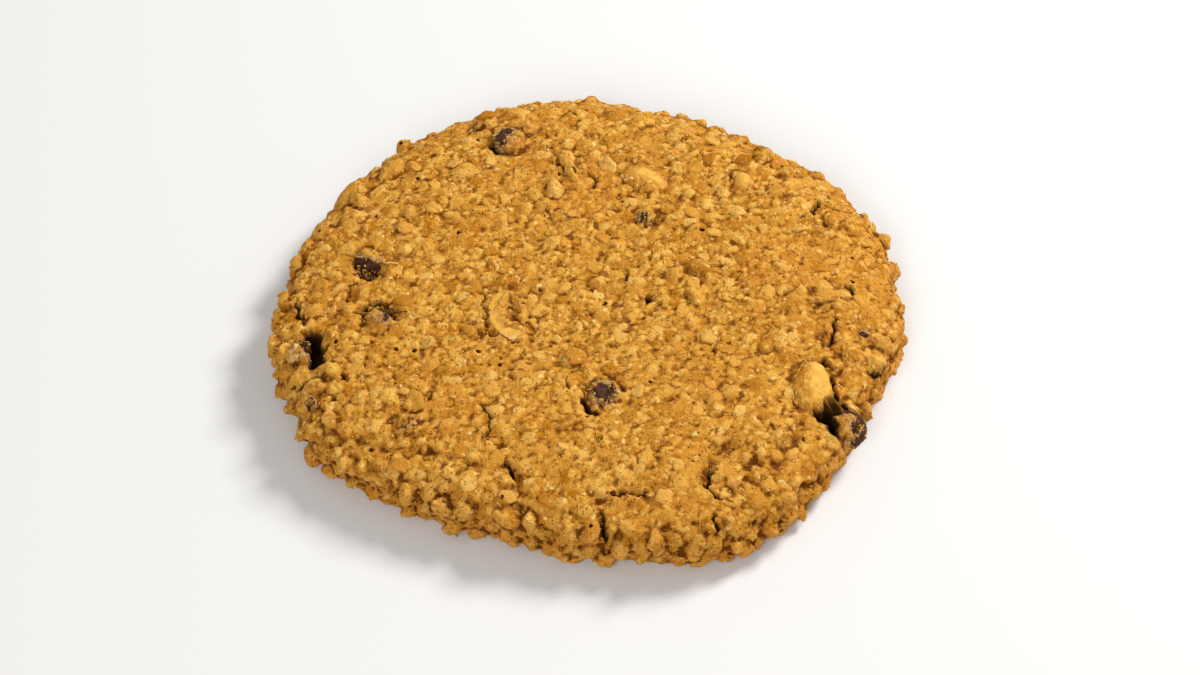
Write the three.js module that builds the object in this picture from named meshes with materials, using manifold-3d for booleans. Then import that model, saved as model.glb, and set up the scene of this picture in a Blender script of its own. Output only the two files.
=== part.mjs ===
// A large oat and peanut butter cookie with chocolate chips and peanut halves baked into it.
// Millimetres, +Z up. It lies on its flat base at z = 0, with the origin under the middle of its
// outline box. The chips and the peanuts are solids of their own, each in a socket of the dough.

import * as THREE from "three";
import { ConvexHull } from "three/addons/math/ConvexHull.js";
import { mergeVertices } from "three/addons/utils/BufferGeometryUtils.js";
import Module from "manifold-3d";

// Overall form of the dough
const meanRadius = 69.2;
const thickness = 15.6;
const bellyHeight = 7; // where the rim is widest
const footTuck = 3; // how far the base stands in from the widest line
const shoulderRun = 28; // how far in from the rim the top is still rounding over
const shoulderPower = 2.3; // 2 is an ellipse, and more is squarer
const outlineCentre = { x: 0.1, y: -0.5 };

// Slow waves that make the round outline an uneven oval: how many round the rim, reach, turn
const outlineWaves = [
  { count: 2, reach: 2.86, turn: -27 },
  { count: 3, reach: 0.92, turn: -141 },
  { count: 4, reach: 2.02, turn: 87 },
  { count: 5, reach: 0.75, turn: 40 },
  { count: 7, reach: 0.33, turn: -31 },
];

// Short bulges and notches of the rim: bearing and spread in degrees
const rimBulges = [
  { bearing: 18, spread: 5, reach: 0.9 },
  { bearing: 32, spread: 4, reach: 0.7 },
  { bearing: 46, spread: 5, reach: 0.5 },
  { bearing: 66, spread: 5, reach: 0.6 },
  { bearing: 91, spread: 5, reach: 0.8 },
  { bearing: 127, spread: 5, reach: 0.6 },
  { bearing: 184, spread: 6, reach: 1.2 },
  { bearing: 199, spread: 5, reach: -1.4 },
  { bearing: 242, spread: 6, reach: 0.8 },
  { bearing: 264, spread: 7, reach: 1.7 },
  { bearing: 291, spread: 9, reach: 1.2 },
  { bearing: 322, spread: 7, reach: 0.6 },
  { bearing: 335, spread: 4, reach: -1.4 },
  { bearing: 351, spread: 8, reach: 1.5 },
];

// Low swells and hollows of the top
const topSwells = [
  { x: 30, y: 8, spread: 17, rise: 0.5 },
  { x: -32, y: 22, spread: 15, rise: 0.4 },
  { x: 20, y: -38, spread: 12, rise: 0.35 },
  { x: -8, y: -6, spread: 14, rise: -0.6 },
  { x: -40, y: -26, spread: 13, rise: -0.4 },
  { x: 4, y: 42, spread: 12, rise: -0.35 },
];

// The oats and lumps of dough that cover it
const lumpPitch = 3.95;
const basePitch = 11;
const lumpJitter = 0.27; // share of the pitch that a lump may be off its even place
const summitRise = { least: 0.05, most: 0.95 };
const valleySink = { least: 0.25, most: 0.95 };
const seed = 4127;

// Cracks in the top from end to end, and the ring crack round one loose lump
const crackWidth = 2;
const cracks = [
  { from: [51.5, -3], to: [55.5, -33], depth: 1.9 },
  { from: [2, -57.5], to: [13, -58], depth: 1.5 },
  { from: [-21, -44], to: [-15.5, -58], depth: 1.4 },
  { from: [38, -52], to: [46.5, -40], depth: 1.7 },
  { from: [-52, -39.5], to: [-36, -43.5], depth: 1.3 },
  { from: [1.3, -60], to: [1.5, -68], depth: 1.5 },
  { from: [-57, -3], to: [-53, 6], depth: 1.3 },
];
const ringCrack = { x: 30.2, y: -50.8, radius: 5.2, depth: 1.6 };

// Chocolate chips: drops that softened in the oven. x, y and z are the middle of a chip, lean is
// the angle of its tip from straight up, tipTo is the bearing that it leans to, and bared is how
// far the dough stands back round it.
const chipRadius = 4.4;
const chipHeight = 5;
const chips = [
  { name: "chip_centre", x: 2.7, y: -29.1, z: 14.2, lean: 10, tipTo: 200, size: 1, bared: 1.9 },
  { name: "chip_back", x: -16.8, y: 49.2, z: 13.8, lean: 58, tipTo: 5, size: 1.1, bared: 2.2 },
  { name: "chip_left_upper", x: -50.5, y: 11, z: 13.4, lean: 45, tipTo: 250, size: 0.95, bared: 2.2 },
  { name: "chip_left_middle", x: -47.2, y: -5.6, z: 13.9, lean: 24, tipTo: 60, size: 0.95, bared: 1.7 },
  { name: "chip_left_lower", x: -64.4, y: -12.6, z: 11.4, lean: 40, tipTo: 170, size: 0.98, bared: 2.4 },
  { name: "chip_left_front", x: -63.5, y: -26.7, z: 10.6, lean: 45, tipTo: 205, size: 0.75, bared: 1.6 },
  { name: "chip_front", x: -41.1, y: -36, z: 13.3, lean: 25, tipTo: 240, size: 0.75, bared: 1.6 },
  { name: "chip_mid_back", x: 14.2, y: 22.6, z: 14.3, lean: 55, tipTo: 320, size: 0.65, bared: 1.6 },
  { name: "chip_rim_right", x: 62.2, y: -12.6, z: 11.9, lean: 40, tipTo: 350, size: 0.55, bared: 1.4 },
  { name: "chip_right_edge", x: 58.2, y: -36.9, z: 8.4, lean: 66, tipTo: -30, size: 1.06, bared: 2.6 },
];
const chipSides = 12;
const chipRings = [0, 0.45, 0.78]; // shares of the height

// Peanut halves: x, y and z are the middle of the flat face, turn is the bearing of the long
// axis, and lean tips the half over towards tipTo. Past 90 degrees its split face is up.
const peanuts = [
  {
    name: "peanut_right", x: 49.2, y: -28.2, z: 13.0, length: 14.6, width: 9.4, depth: 3.6,
    turn: 86, lean: 12, tipTo: -20, bared: 1.3,
  },
  {
    name: "peanut_left", x: -18.0, y: -6.2, z: 15.6, length: 15.4, width: 9.6, depth: 3.8,
    turn: -60, lean: 171, tipTo: 20, bared: 0.9,
  },
  {
    name: "peanut_back", x: 14.6, y: 34.6, z: 12.7, length: 15.2, width: 9.4, depth: 3.8,
    turn: -25, lean: 5, tipTo: 270, bared: 1.1,
  },
  {
    name: "peanut_rim_left", x: -54.4, y: 35.2, z: 9.8, length: 14, width: 8.2, depth: 3.6,
    turn: 57, lean: 44, tipTo: 147, bared: 1.4,
  },
  {
    name: "peanut_piece", x: 36.7, y: 33.2, z: 13.0, length: 8, width: 5.6, depth: 3.4,
    turn: 100, lean: 8, tipTo: 60, bared: 1.1,
  },
  {
    name: "peanut_sliver", x: -3.8, y: 38.8, z: 14.6, length: 11.5, width: 2.6, depth: 2.3,
    turn: -67, lean: 0, tipTo: 0, bared: 0.9,
  },
];
const peanutTaper = 0.14; // how much one end is narrower than the middle
const splitHollow = 0.12; // share of a half's depth
const peanutSides = 12;
const peanutRings = 4;

const socketGap = 0.3;
const pitMargin = 2.2; // how far past a chip or peanut the dough stands back

const finishes = {
  crust: { color: 0xc8913c, roughness: 0.85, metalness: 0 },
  chocolate: { color: 0x3c2820, roughness: 0.55, metalness: 0 },
  peanut: { color: 0xe6b25c, roughness: 0.6, metalness: 0 },
};

const degrees = Math.PI / 180;
const seamTolerance = 1e-4;

const solids = await Module();
solids.setup();

// A repeatable run of random numbers from 0 to 1
function makeRandom(start) {
  let state = start;
  return () => {
    state = (state + 0x6d2b79f5) | 0;
    let mixed = Math.imul(state ^ (state >>> 15), 1 | state);
    mixed = (mixed + Math.imul(mixed ^ (mixed >>> 7), 61 | mixed)) ^ mixed;
    return ((mixed ^ (mixed >>> 14)) >>> 0) / 4294967296;
  };
}

const between = (range, share) => range.least + (range.most - range.least) * share;

const bell = (distance, spread) => Math.exp(-((distance / spread) ** 2));

const sum = (values) => values.reduce((total, value) => total + value, 0);

// Degrees from one bearing to another, from -180 to 180
const turnBetween = (from, to) => ((((to - from + 180) % 360) + 360) % 360) - 180;

// The widest line's distance from the middle, at an angle in radians
function rimRadius(angle) {
  const waves = outlineWaves.map((w) => w.reach * Math.cos(w.count * angle - w.turn * degrees));
  const bulges = rimBulges.map((b) => b.reach * bell(turnBetween(b.bearing, angle / degrees), b.spread));
  return meanRadius + sum(waves) + sum(bulges);
}

// The section from the middle of the top, over the shoulder and the belly, to the middle of the
// base. Each point has how far it lies in from the rim, its height and the pitch of its lumps.
function doughSection() {
  const step = 0.2;
  const section = [];
  for (let inset = meanRadius; inset > shoulderRun; inset -= step) {
    section.push({ inset, z: thickness, pitch: lumpPitch });
  }
  for (let turn = 90; turn > 0; turn -= 0.5) {
    const run = Math.cos(turn * degrees) ** (2 / shoulderPower);
    const rise = Math.sin(turn * degrees) ** (2 / shoulderPower);
    const z = bellyHeight + (thickness - bellyHeight) * rise;
    section.push({ inset: shoulderRun * (1 - run), z, pitch: lumpPitch });
  }
  for (let turn = 0; turn < 90; turn += 2) {
    const inset = footTuck * (1 - Math.cos(turn * degrees));
    section.push({ inset, z: bellyHeight * (1 - Math.sin(turn * degrees)), pitch: lumpPitch });
  }
  for (let inset = footTuck; inset < meanRadius; inset += step) {
    section.push({ inset, z: 0, pitch: basePitch });
  }
  return section;
}

// Adds to each point of the section its outward normal, its way down from the top, how many
// lumps lie above it, and its latitude on a round ball that keeps the pattern's shape.
function measuredSection() {
  const section = doughSection();
  const leastRadius = 0.4;
  let way = 0;
  let count = 0;
  let stretch = 0;
  section.forEach((point, i) => {
    const before = section[Math.max(i - 1, 0)];
    const after = section[Math.min(i + 1, section.length - 1)];
    const outward = before.inset - after.inset;
    const drop = before.z - after.z;
    const length = Math.hypot(outward, drop);
    const arc = Math.hypot(point.inset - before.inset, point.z - before.z);
    const radius = Math.max(meanRadius - point.inset, leastRadius);
    way += arc;
    count += (2 * Math.PI * radius * arc) / (point.pitch ** 2 * Math.sin(60 * degrees));
    stretch += arc / radius;
    Object.assign(point, { out: drop / length, up: outward / length, way, count, stretch });
  });
  const belly = section.reduce((a, b) => (a.inset < b.inset ? a : b));
  section.forEach((point) => {
    point.latitude = 2 * Math.atan(Math.exp(point.stretch - belly.stretch));
  });
  return section;
}

// The smooth dough's point and outward normal, at a point of the section and an angle
function onDough({ inset, z, out, up }, angle) {
  const rim = rimRadius(angle);
  const flatShare = (meanRadius - inset) / (meanRadius - shoulderRun);
  const radius = inset < shoulderRun ? rim - inset : (rim - shoulderRun) * flatShare;
  const { x, y } = outlineCentre;
  const place = new THREE.Vector3(x + radius * Math.cos(angle), y + radius * Math.sin(angle), z);
  const normal = new THREE.Vector3(out * Math.cos(angle), out * Math.sin(angle), up);
  return { place, normal };
}

// Where a chip or a peanut lies: turned about its own axis, then leaned over
function placeOf({ x, y, z, lean, tipTo, turn = 0 }) {
  const hinge = new THREE.Vector3(-Math.sin(tipTo * degrees), Math.cos(tipTo * degrees), 0);
  return new THREE.Matrix4()
    .makeRotationAxis(hinge, lean * degrees)
    .multiply(new THREE.Matrix4().makeRotationZ(turn * degrees))
    .setPosition(x, y, z);
}

// The egg-shaped pit in which the dough stands back round a chip or a peanut
function pitRound(item, halfLength, halfWidth, halfDepth) {
  const reach = new THREE.Vector3(halfLength, halfWidth, halfDepth).addScalar(pitMargin);
  return { bared: item.bared, toItem: placeOf(item).invert(), reach };
}

const pits = [
  ...chips.map((chip) => {
    const radius = chipRadius * chip.size;
    return pitRound(chip, radius, radius, (chipHeight / 2) * chip.size);
  }),
  ...peanuts.map((nut) => pitRound(nut, nut.length / 2, nut.width / 2, nut.depth)),
];

// How far the dough rises above its smooth form at a point, without the lumps
function slowRelief({ place, normal }) {
  const swells = topSwells.map(({ x, y, spread, rise }) => {
    return rise * bell(Math.hypot(place.x - x, place.y - y), spread);
  });
  const sinks = pits.map(({ bared, toItem, reach }) => {
    const off = place.clone().applyMatrix4(toItem).divide(reach).length();
    return bared * Math.max(0, 1 - off ** 3);
  });
  return sum(swells) * Math.max(normal.z, 0) - Math.max(...sinks);
}

// How much deeper the valleys lie where a crack runs
function crackDepth(place) {
  const onTop = new THREE.Vector3(place.x, place.y, 0);
  const nearest = new THREE.Vector3();
  const depths = cracks.map(({ from, to, depth }) => {
    const line = new THREE.Line3(new THREE.Vector3(...from, 0), new THREE.Vector3(...to, 0));
    line.closestPointToPoint(onTop, true, nearest);
    return depth * bell(nearest.distanceTo(onTop), crackWidth);
  });
  const toRing = Math.hypot(place.x - ringCrack.x, place.y - ringCrack.y) - ringCrack.radius;
  return Math.max(...depths, ringCrack.depth * bell(toRing, crackWidth));
}

// The middles of the lumps, on a spiral over the whole dough, each a little off its even place
function lumpMiddles(random) {
  const section = measuredSection();
  const goldenAngle = Math.PI * (3 - Math.sqrt(5));
  const off = () => (random() * 2 - 1) * lumpJitter;
  const lumps = [];
  for (let i = 0; i + 1 < section.at(-1).count; i++) {
    const even = section.find((point) => point.count > i + 0.5);
    const way = even.way + off() * even.pitch;
    const point = section.find((candidate) => candidate.way >= way);
    const angle = i * goldenAngle + (off() * point.pitch) / Math.max(meanRadius - point.inset, 1);
    const flat = Math.sin(point.latitude);
    const up = Math.cos(point.latitude);
    const onBall = new THREE.Vector3(flat * Math.cos(angle), flat * Math.sin(angle), up);
    lumps.push({ ...onDough(point, angle), onBall });
  }
  return lumps;
}

// The corners of every triangle of neighbouring lumps, anticlockwise from outside
function neighbourTriangles(lumps) {
  const numberOf = new Map(lumps.map((lump, i) => [lump.onBall, i]));
  const hull = new ConvexHull().setFromPoints(lumps.map((lump) => lump.onBall));
  return hull.faces.map(({ edge }) => {
    return [edge, edge.next, edge.next.next].map((side) => numberOf.get(side.head().point));
  });
}

// The dough's surface: each lump is a summit in a ring of valley points, one for each triangle
// of neighbours. The base stays flat.
function doughGeometry() {
  const random = makeRandom(seed);
  const lumps = lumpMiddles(random);
  const triangles = neighbourTriangles(lumps);

  const summits = lumps.map((lump) => {
    const fade = Math.min(lump.place.z / bellyHeight, 1);
    const rise = (between(summitRise, random()) + slowRelief(lump)) * fade;
    return lump.place.clone().addScaledVector(lump.normal, rise);
  });
  const valleys = triangles.map((corners) => {
    const near = corners.map((i) => lumps[i]);
    const place = new THREE.Vector3();
    const normal = new THREE.Vector3();
    near.forEach((lump) => place.addScaledVector(lump.place, 1 / near.length));
    near.forEach((lump) => normal.add(lump.normal));
    normal.normalize();
    const fade = Math.min(place.z / bellyHeight, 1);
    const sink = between(valleySink, random()) + crackDepth(place) - slowRelief({ place, normal });
    return place.addScaledVector(normal, -sink * fade);
  });

  const valleyLeftOf = new Map();
  triangles.forEach((corners, i) => {
    corners.forEach((a, k) => valleyLeftOf.set(`${a} ${corners[(k + 1) % 3]}`, lumps.length + i));
  });
  const faces = [];
  for (const [pair, left] of valleyLeftOf) {
    const [a, b] = pair.split(" ").map(Number);
    faces.push(a, valleyLeftOf.get(`${b} ${a}`), left);
  }
  return new THREE.BufferGeometry().setFromPoints([...summits, ...valleys]).setIndex(faces);
}

// A softened drop of chocolate, tip up, with its middle at the origin and grown by a margin
function chipGeometry({ size }, margin = 0) {
  const height = chipHeight * size;
  const profile = chipRings.map((share) => {
    const radius = chipRadius * size * (1 - share ** 2) ** 0.6;
    return new THREE.Vector2(radius + margin, height * (share - 0.5) + (share ? margin : -margin));
  });
  profile.unshift(new THREE.Vector2(0, -height / 2 - margin));
  profile.push(new THREE.Vector2(0, height / 2 + margin));
  return new THREE.LatheGeometry(profile, chipSides).rotateX(Math.PI / 2);
}

// Half a peanut grown by a margin: a long dome, narrower towards one end, on a split face that
// is a little hollow
function peanutGeometry({ length, width, depth }, margin = 0) {
  const profile = [new THREE.Vector2(0, splitHollow)];
  for (let i = 0; i <= peanutRings; i++) {
    const turn = (i / peanutRings) * 90 * degrees;
    profile.push(new THREE.Vector2(i < peanutRings ? Math.cos(turn) : 0, Math.sin(turn)));
  }
  const half = new THREE.LatheGeometry(profile, peanutSides).rotateX(Math.PI / 2);
  const spots = half.getAttribute("position");
  for (let i = 0; i < spots.count; i++) {
    const [x, y, z] = [spots.getX(i), spots.getY(i), spots.getZ(i)];
    const across = y * (1 - peanutTaper * x) * (width / 2 + margin);
    spots.setXYZ(i, x * (length / 2 + margin), across, z * (depth + 2 * margin) - margin);
  }
  return half;
}

// A geometry as a solid, with the vertices along its seams joined and no empty triangles
function solidFrom(geometry) {
  const bare = geometry.clone();
  bare.deleteAttribute("normal");
  bare.deleteAttribute("uv");
  const merged = mergeVertices(bare, seamTolerance);
  const corners = merged.index.array;
  const triVerts = [];
  for (let i = 0; i < corners.length; i += 3) {
    const triangle = new Set(corners.slice(i, i + 3));
    if (triangle.size === 3) triVerts.push(...triangle);
  }
  const mesh = new solids.Mesh({
    numProp: 3,
    vertProperties: merged.getAttribute("position").array,
    triVerts: new Uint32Array(triVerts),
  });
  return new solids.Manifold(mesh);
}

function geometryFrom(solid) {
  const { vertProperties, triVerts } = solid.getMesh();
  const geometry = new THREE.BufferGeometry();
  geometry.setAttribute("position", new THREE.BufferAttribute(vertProperties, 3));
  geometry.setIndex(new THREE.BufferAttribute(triVerts, 1));
  geometry.computeVertexNormals();
  return geometry;
}

// The dough with a socket cut for each chip and peanut. Crumbs that the cuts leave loose go.
function doughWithSockets() {
  const sockets = [
    ...chips.map((chip) => chipGeometry(chip, socketGap).applyMatrix4(placeOf(chip))),
    ...peanuts.map((nut) => peanutGeometry(nut, socketGap).applyMatrix4(placeOf(nut))),
  ];
  let dough = solidFrom(doughGeometry());
  for (const socket of sockets) dough = dough.subtract(solidFrom(socket));
  const pieces = dough.decompose();
  return geometryFrom(pieces.reduce((a, b) => (a.volume() > b.volume() ? a : b)));
}

function pieceOf(name, geometry, finish) {
  const piece = new THREE.Mesh(geometry, new THREE.MeshStandardMaterial(finish));
  piece.name = name;
  return piece;
}

const group = new THREE.Group();
group.add(pieceOf("cookie_dough", doughWithSockets(), finishes.crust));
for (const chip of chips) {
  const drop = pieceOf(chip.name, chipGeometry(chip), finishes.chocolate);
  drop.applyMatrix4(placeOf(chip));
  group.add(drop);
}
for (const nut of peanuts) {
  const half = pieceOf(nut.name, peanutGeometry(nut), finishes.peanut);
  half.applyMatrix4(placeOf(nut));
  group.add(half);
}

export default group;
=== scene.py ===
import math
import time

import bmesh
import bpy
import numpy as np
from mathutils import Matrix, Vector
from mathutils.bvhtree import BVHTree


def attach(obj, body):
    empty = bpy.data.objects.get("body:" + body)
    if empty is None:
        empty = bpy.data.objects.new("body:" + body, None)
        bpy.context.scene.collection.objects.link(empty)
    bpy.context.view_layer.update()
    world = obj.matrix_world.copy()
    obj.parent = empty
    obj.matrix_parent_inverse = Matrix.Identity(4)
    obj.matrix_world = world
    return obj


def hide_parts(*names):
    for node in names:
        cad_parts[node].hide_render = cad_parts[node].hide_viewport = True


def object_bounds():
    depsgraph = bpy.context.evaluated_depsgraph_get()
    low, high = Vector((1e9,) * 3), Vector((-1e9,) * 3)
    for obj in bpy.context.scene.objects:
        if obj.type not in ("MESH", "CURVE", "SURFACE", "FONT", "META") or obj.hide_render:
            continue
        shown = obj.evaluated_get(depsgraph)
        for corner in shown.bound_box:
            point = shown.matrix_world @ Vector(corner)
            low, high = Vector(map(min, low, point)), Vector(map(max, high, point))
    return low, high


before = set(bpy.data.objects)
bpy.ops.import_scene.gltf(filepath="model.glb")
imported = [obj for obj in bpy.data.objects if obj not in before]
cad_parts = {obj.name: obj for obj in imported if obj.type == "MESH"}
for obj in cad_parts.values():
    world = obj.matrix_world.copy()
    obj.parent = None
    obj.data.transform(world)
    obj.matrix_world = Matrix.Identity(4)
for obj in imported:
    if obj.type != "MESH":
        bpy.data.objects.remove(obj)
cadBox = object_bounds()
mm = 0.001
started = time.time()


def report(stage, *facts):
    print(stage, *facts, "at", round(time.time() - started), "s")


# A node tree written as sums: a wire is one output, a graph makes the nodes

def operator(operation, swapped=False):
    def apply(self, other):
        first, second = (other, self) if swapped else (self, other)
        return self.graph.maths(operation, first, second)
    return apply


class Wire:
    __add__ = operator("ADD")
    __radd__ = operator("ADD", True)
    __sub__ = operator("SUBTRACT")
    __rsub__ = operator("SUBTRACT", True)
    __mul__ = operator("MULTIPLY")
    __rmul__ = operator("MULTIPLY", True)
    __truediv__ = operator("DIVIDE")
    __rtruediv__ = operator("DIVIDE", True)
    __pow__ = operator("POWER")

    def __init__(self, graph, socket):
        self.graph = graph
        self.socket = socket


class Graph:
    def __init__(self, tree):
        self.tree = tree

    def node(self, kind, settings=None, inputs=None, output=0):
        made = self.tree.nodes.new(kind)
        for name, value in (settings or {}).items():
            setattr(made, name, value)
        for name, value in (inputs or {}).items():
            if isinstance(value, Wire):
                self.tree.links.new(value.socket, made.inputs[name])
            else:
                made.inputs[name].default_value = value
        if output is None:
            return made
        return Wire(self, made.outputs[output])

    def maths(self, operation, first, second=0.0):
        return self.node("ShaderNodeMath", {"operation": operation}, {0: first, 1: second})

    def vector(self, operation, first, second, output=0):
        return self.node("ShaderNodeVectorMath", {"operation": operation}, {0: first, 1: second}, output)

    def scaled(self, vector, factor):
        return self.node("ShaderNodeVectorMath", {"operation": "SCALE"}, {0: vector, 3: factor})

    def step(self, value, low, high, least=0.0, most=1.0):
        # a soft step from least at low to most at high
        return self.node("ShaderNodeMapRange", {"interpolation_type": "SMOOTHSTEP"},
                         {0: value, 1: low, 2: high, 3: least, 4: most})

    def blend(self, factor, first, second, how="MIX"):
        settings = {"data_type": "RGBA", "blend_type": how}
        return self.node("ShaderNodeMix", settings, {0: factor, 6: first, 7: second}, 2)

    def noise(self, place, size, detail=2.0, roughness=0.5, output=0):
        # size is the width of one swell in mm
        inputs = {"Vector": place, "Scale": 1 / (size * mm), "Detail": detail, "Roughness": roughness}
        return self.node("ShaderNodeTexNoise", None, inputs, output)

    def spots(self, place, size, low, high, detail=2.0, roughness=0.5, least=0.0, most=1.0):
        # a noise cut by a soft step
        return self.step(self.noise(place, size, detail, roughness), low, high, least, most)

    def cells(self, place, size, feature="F1", output=0, **inputs):
        return self.node("ShaderNodeTexVoronoi", {"feature": feature},
                         {"Vector": place, "Scale": 1 / (size * mm), **inputs}, output)

    def warped(self, place, size, detail):
        # the place shifted by up to half the size, in mm
        return self.vector("ADD", place, self.scaled(self.noise(place, size, detail, output=1), size * mm))

    def holes(self, place, spacing, radius, share, bend=1.0, core=0.45, sharpness=0.02):
        # scattered round holes: 1 in the core of each, 0 at its edge
        cells = self.cells(self.warped(place, bend, 1.0), spacing, output=None)
        draw = self.vector("DOT_PRODUCT", Wire(self, cells.outputs["Color"]), (1, 0, 0), 1)
        reach = radius / spacing
        near = self.step(Wire(self, cells.outputs["Distance"]), reach, reach * core)
        return near * self.step(draw, 1 - share, 1 - share + sharpness)

    def cracks(self, place, spacing, half, bend=2.4, stretch=3.5):
        # thin bent lines that come and go; the bend and the length of a stretch are in mm
        line = self.cells(self.warped(place, bend, 3.0), spacing, "DISTANCE_TO_EDGE")
        return self.step(line, half / spacing, 0.0) * self.spots(place, stretch, 0.48, 0.6)

    def place(self):
        return self.node("ShaderNodeTexCoord", output="Object")

    def attribute(self, name):
        return self.node("ShaderNodeAttribute", {"attribute_name": name}, output="Fac")

    def random(self, least, most, seed):
        return self.node("FunctionNodeRandomValue", {"data_type": "FLOAT"}, {2: least, 3: most, 8: seed}, 1)

    def stored(self, name):
        return self.node("GeometryNodeInputNamedAttribute", {"data_type": "FLOAT"}, {0: name})

    def store(self, geometry, name, value, domain="POINT"):
        return self.node("GeometryNodeStoreNamedAttribute", {"data_type": "FLOAT", "domain": domain},
                         {"Geometry": geometry, "Name": name, "Value": value})


def newTree(name, inputs):
    # a geometry tree with a mesh in, a mesh out and named inputs between
    tree = bpy.data.node_groups.new(name, "GeometryNodeTree")
    tree.interface.new_socket("Geometry", in_out="OUTPUT", socket_type="NodeSocketGeometry")
    tree.interface.new_socket("Geometry", in_out="INPUT", socket_type="NodeSocketGeometry")
    for label, kind in inputs:
        tree.interface.new_socket(label, in_out="INPUT", socket_type="NodeSocket" + kind)
    graph = Graph(tree)
    entry = graph.node("NodeGroupInput", output=None)
    wires = {socket.name: Wire(graph, socket) for socket in entry.outputs if socket.name}
    return graph, wires


def closeTree(graph, geometry):
    graph.node("NodeGroupOutput", inputs={0: geometry}, output=None)
    return graph.tree


def addTree(piece, tree, values=None):
    modifier = piece.modifiers.new(tree.name, "NODES")
    modifier.node_group = tree
    for item in tree.interface.items_tree:
        if item.in_out == "INPUT" and item.name in (values or {}):
            modifier[item.identifier] = values[item.name]


def addModifier(piece, kind, **settings):
    modifier = piece.modifiers.new(kind.lower(), kind)
    for name, value in settings.items():
        setattr(modifier, name, value)


def addRemesh(piece, voxel, smooth=True):
    addModifier(piece, "REMESH", mode="VOXEL", voxel_size=voxel * mm, use_smooth_shade=smooth)


def bakeModifiers(piece):
    # the mesh becomes what its modifiers make of it
    graph = bpy.context.evaluated_depsgraph_get()
    mesh = bpy.data.meshes.new_from_object(piece.evaluated_get(graph), preserve_all_data_layers=True,
                                           depsgraph=graph)
    piece.modifiers.clear()
    piece.data = mesh
    return piece


def newPiece(name, mesh):
    piece = bpy.data.objects.new(name, mesh)
    bpy.context.scene.collection.objects.link(piece)
    return piece


def discard(*pieces):
    for piece in pieces:
        bpy.data.objects.remove(piece)


def joined(name, pieces):
    bpy.ops.object.select_all(action="DESELECT")
    copies = [newPiece(name, piece.data.copy()) for piece in pieces]
    for copy in copies:
        copy.select_set(True)
    bpy.context.view_layer.objects.active = copies[0]
    bpy.ops.object.join()
    return copies[0]


def valuesOf(collection, name, width):
    values = np.empty(len(collection) * width, np.float32)
    collection.foreach_get(name, values)
    return values.reshape(-1, width).astype(float)


def placesOf(mesh):
    # in mm
    return valuesOf(mesh.vertices, "co", 3) / mm


def setPoints(mesh, spots):
    mesh.vertices.foreach_set("co", spots.astype(np.float32).ravel())
    mesh.update()


def setAttribute(mesh, name, values):
    # one value for all points, or one for each
    if name in mesh.attributes:
        mesh.attributes.remove(mesh.attributes[name])
    attribute = mesh.attributes.new(name, "FLOAT", "POINT")
    attribute.data.foreach_set("value", np.full(len(mesh.vertices), values, np.float32))


def smoothStep(values, low, high):
    share = np.clip((values - low) / (high - low), 0, 1)
    return share * share * (3 - 2 * share)


boxMargin = 1.0  # mm inside the CAD box where the easing starts
leastHeight = 0.02  # mm above the floor


def keepInside(mesh, margin=boxMargin):
    # eases what stands near or past the CAD box to just inside it
    places = placesOf(mesh)
    for axis, (low, high) in enumerate(zip(*cadBox)):
        top = high / mm - margin
        over = places[:, axis] > top
        places[over, axis] = top + margin * np.tanh((places[over, axis] - top) / margin)
        if axis < 2:
            foot = low / mm + margin
            under = places[:, axis] < foot
            places[under, axis] = foot + margin * np.tanh((places[under, axis] - foot) / margin)
    places[:, 2] = np.maximum(places[:, 2], leastHeight)
    setPoints(mesh, places * mm)


def triangleCount(piece):
    return sum(len(face.vertices) - 2 for face in piece.data.polygons)


# Camera, floor and light

cameraSettings = {
    "place": (2.35, -502.2, 590.5),  # mm
    "lookAt": (2.35, -0.55, 0.0),
    "roll": -1.59,  # degrees
    "lens": 101.0,
    "sensor": 36.0,
}

lampSettings = {
    "key": {"place": (0.75, 0.55, 0.75), "size": 0.35, "power": 15.8},
    "fill": {"place": (-0.3, -1.05, 0.8), "size": 0.7, "power": 9.5},
}

skyStrength = 0.38


def aimed(place, target, roll=0.0):
    turn = (Vector(target) - Vector(place)).to_track_quat("-Z", "Y").to_matrix().to_4x4()
    return Matrix.Translation(place) @ turn @ Matrix.Rotation(math.radians(roll), 4, "Z")


def makeCamera(settings):
    data = bpy.data.cameras.new("camera")
    data.lens = settings["lens"]
    data.sensor_width = settings["sensor"]
    data.clip_start = 0.01
    camera = newPiece("camera", data)
    place = Vector(settings["place"]) * mm
    camera.matrix_world = aimed(place, Vector(settings["lookAt"]) * mm, settings["roll"])
    bpy.context.scene.camera = camera


def makeLamp(name, settings):
    data = bpy.data.lights.new(name, "AREA")
    data.size = settings["size"]
    data.energy = settings["power"]
    newPiece(name, data).matrix_world = aimed(settings["place"], (0, 0, 0))


floorSettings = {"size": 6, "colour": (0.72, 0.71, 0.69, 1), "roughness": 0.9}


def makeFloor(settings):
    bpy.ops.mesh.primitive_plane_add(size=settings["size"])
    floor = bpy.context.object
    floor.name = "floor"
    material, graph, surface = newMaterial("floor")
    surface.inputs["Base Color"].default_value = settings["colour"]
    surface.inputs["Roughness"].default_value = settings["roughness"]
    floor.data.materials.append(material)


def makeSky(strength):
    world = bpy.data.worlds.new("sky")
    bpy.context.scene.world = world
    world.use_nodes = True
    world.node_tree.nodes["Background"].inputs[0].default_value = (1, 1, 1, 1)
    world.node_tree.nodes["Background"].inputs[1].default_value = strength


def newMaterial(name):
    material = bpy.data.materials.new(name)
    material.use_nodes = True
    graph = Graph(material.node_tree)
    return material, graph, material.node_tree.nodes["Principled BSDF"]


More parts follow.
